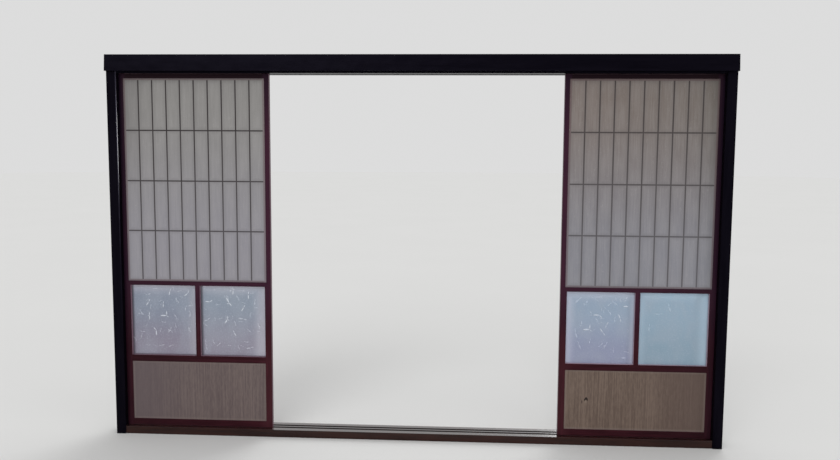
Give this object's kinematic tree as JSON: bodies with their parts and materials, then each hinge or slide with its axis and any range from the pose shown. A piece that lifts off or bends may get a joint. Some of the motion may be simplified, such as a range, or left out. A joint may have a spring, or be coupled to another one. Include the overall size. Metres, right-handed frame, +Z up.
{
  "type": "pair of shoji sliding doors in a frame",
  "caption": "Pair of sliding doors with papered lattice, frosted panes and a low board, in a dark timber frame with a grooved sill and head.",
  "frame": {"origin": "on the underside of the sill, midway between the posts, under the front face of the doors", "axes": "+X along the opening to the viewer's right, +Y away from the viewer, +Z up"},
  "size_m": [3.627, 0.158, 2.28],
  "materials": {
    "frame_wood": "dark stain under a thin lacquer",
    "sill_wood": "brown, polished by use",
    "door_wood": "dark reddish stain, satin",
    "lattice_wood": "planed, bare",
    "paper": "translucent, matt",
    "pane_glass": "frosted, with a sprig figure in low relief",
    "left_board_wood": "mauve-brown, straight grain, matt",
    "right_board_wood": "tan-brown, straight grain, matt"
  },
  "bodies": {
    "frame": {"frame_sill": "sill_wood", "frame_head_track": "frame_wood", "frame_head_casing": "frame_wood", "frame_left_post": "frame_wood", "frame_right_post": "frame_wood"},
    "left_door": {"left_door_left_stile": "door_wood", "left_door_right_stile": "door_wood", "left_door_glazing_bar": "door_wood", "left_door_paper": "paper", "left_door_low_board": "left_board_wood", "left_door_bottom_rail": "door_wood", "left_door_lower_middle_rail": "door_wood", "left_door_upper_middle_rail": "door_wood", "left_door_top_rail": "door_wood", "left_door_lattice_upright_1": "lattice_wood", "left_door_lattice_upright_2": "lattice_wood", "left_door_lattice_upright_3": "lattice_wood", "left_door_lattice_upright_4": "lattice_wood", "left_door_lattice_upright_5": "lattice_wood", "left_door_lattice_upright_6": "lattice_wood", "left_door_lattice_upright_7": "lattice_wood", "left_door_lattice_upright_8": "lattice_wood", "left_door_lattice_upright_9": "lattice_wood", "left_door_lattice_cross_1": "lattice_wood", "left_door_lattice_cross_2": "lattice_wood", "left_door_lattice_cross_3": "lattice_wood", "left_door_left_pane": "pane_glass", "left_door_right_pane": "pane_glass", "left_door_left_bead_frame": "door_wood", "left_door_right_bead_frame": "door_wood"},
    "right_door": {"right_door_left_stile": "door_wood", "right_door_right_stile": "door_wood", "right_door_glazing_bar": "door_wood", "right_door_paper": "paper", "right_door_low_board": "right_board_wood", "right_door_bottom_rail": "door_wood", "right_door_lower_middle_rail": "door_wood", "right_door_upper_middle_rail": "door_wood", "right_door_top_rail": "door_wood", "right_door_lattice_upright_1": "lattice_wood", "right_door_lattice_upright_2": "lattice_wood", "right_door_lattice_upright_3": "lattice_wood", "right_door_lattice_upright_4": "lattice_wood", "right_door_lattice_upright_5": "lattice_wood", "right_door_lattice_upright_6": "lattice_wood", "right_door_lattice_upright_7": "lattice_wood", "right_door_lattice_upright_8": "lattice_wood", "right_door_lattice_upright_9": "lattice_wood", "right_door_lattice_cross_1": "lattice_wood", "right_door_lattice_cross_2": "lattice_wood", "right_door_lattice_cross_3": "lattice_wood", "right_door_left_pane": "pane_glass", "right_door_right_pane": "pane_glass", "right_door_left_bead_frame": "door_wood", "right_door_right_bead_frame": "door_wood"}
  },
  "joints": [
    {"name": "left_door_slide", "type": "slide", "parent": "frame", "child": "left_door", "axis": [1, 0, 0], "range_m": [0, 0.859]},
    {"name": "right_door_slide", "type": "slide", "parent": "frame", "child": "right_door", "axis": [-1, 0, 0], "range_m": [0, 0.859]}
  ]
}
